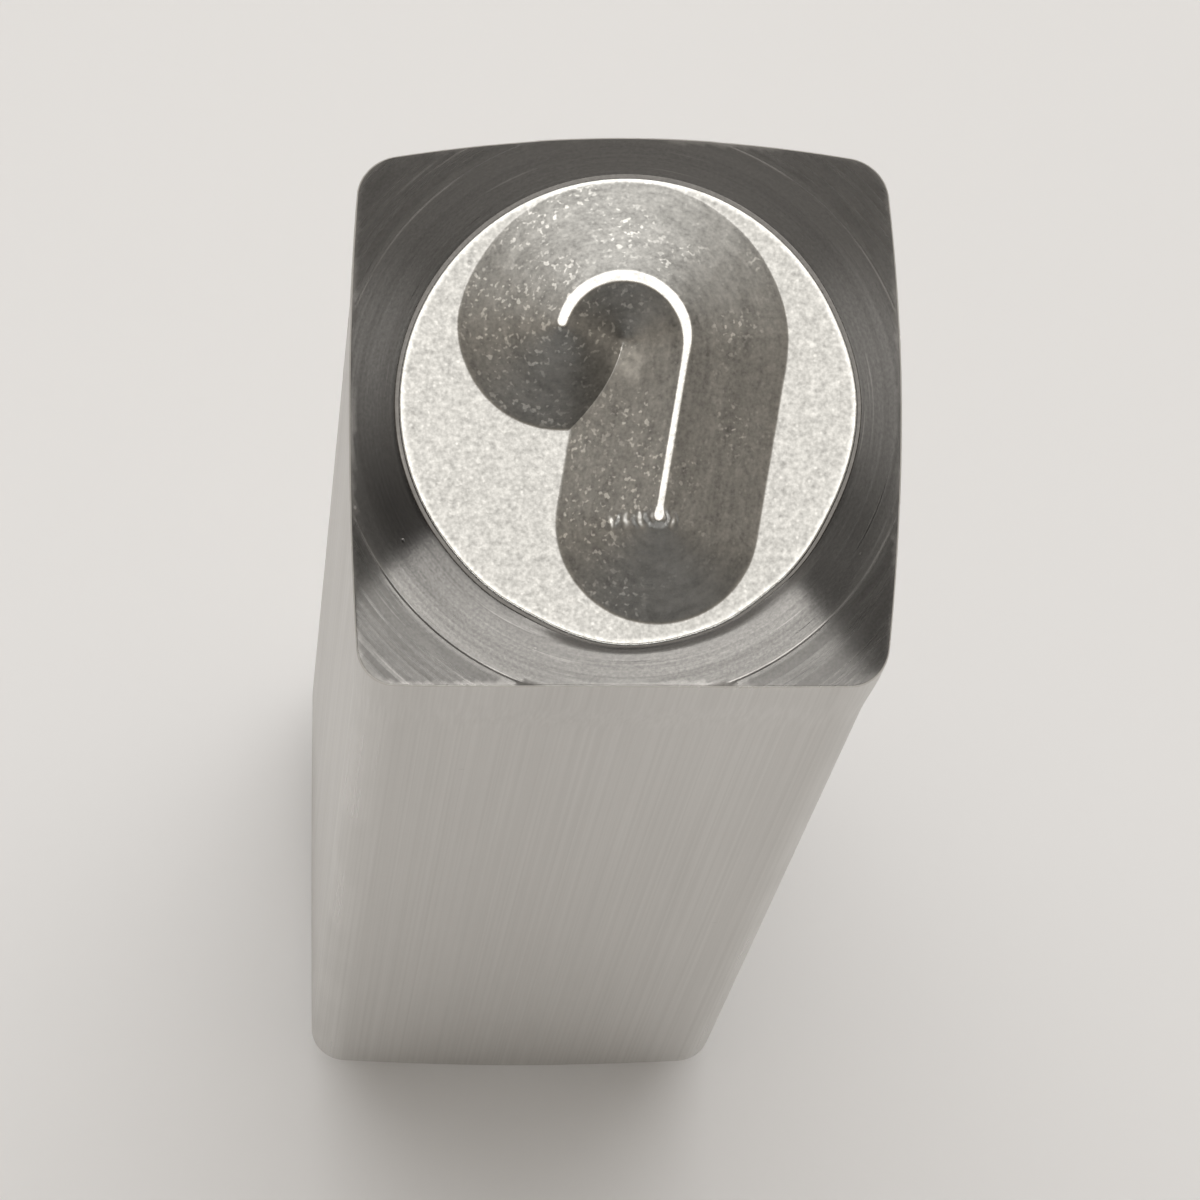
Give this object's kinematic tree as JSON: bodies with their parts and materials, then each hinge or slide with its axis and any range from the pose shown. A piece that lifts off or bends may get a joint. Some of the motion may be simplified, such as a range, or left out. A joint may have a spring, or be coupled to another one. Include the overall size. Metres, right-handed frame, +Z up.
{
  "type": "steel letter punch",
  "caption": "Hand punch of square tool steel with a turned end that carries a mirrored capital letter in relief, standing on its struck end.",
  "frame": {"origin": "centre of the struck face at the foot of the punch", "axes": "+Z up along the bar to the letter, +X and +Y square to the bar's flats, the letter read from -Y"},
  "size_m": [0.0066, 0.0066, 0.062],
  "materials": {
    "tool_steel": "satin, turned and ground"
  },
  "bodies": {
    "root": {"letter_punch": "tool_steel"}
  },
  "joints": []
}
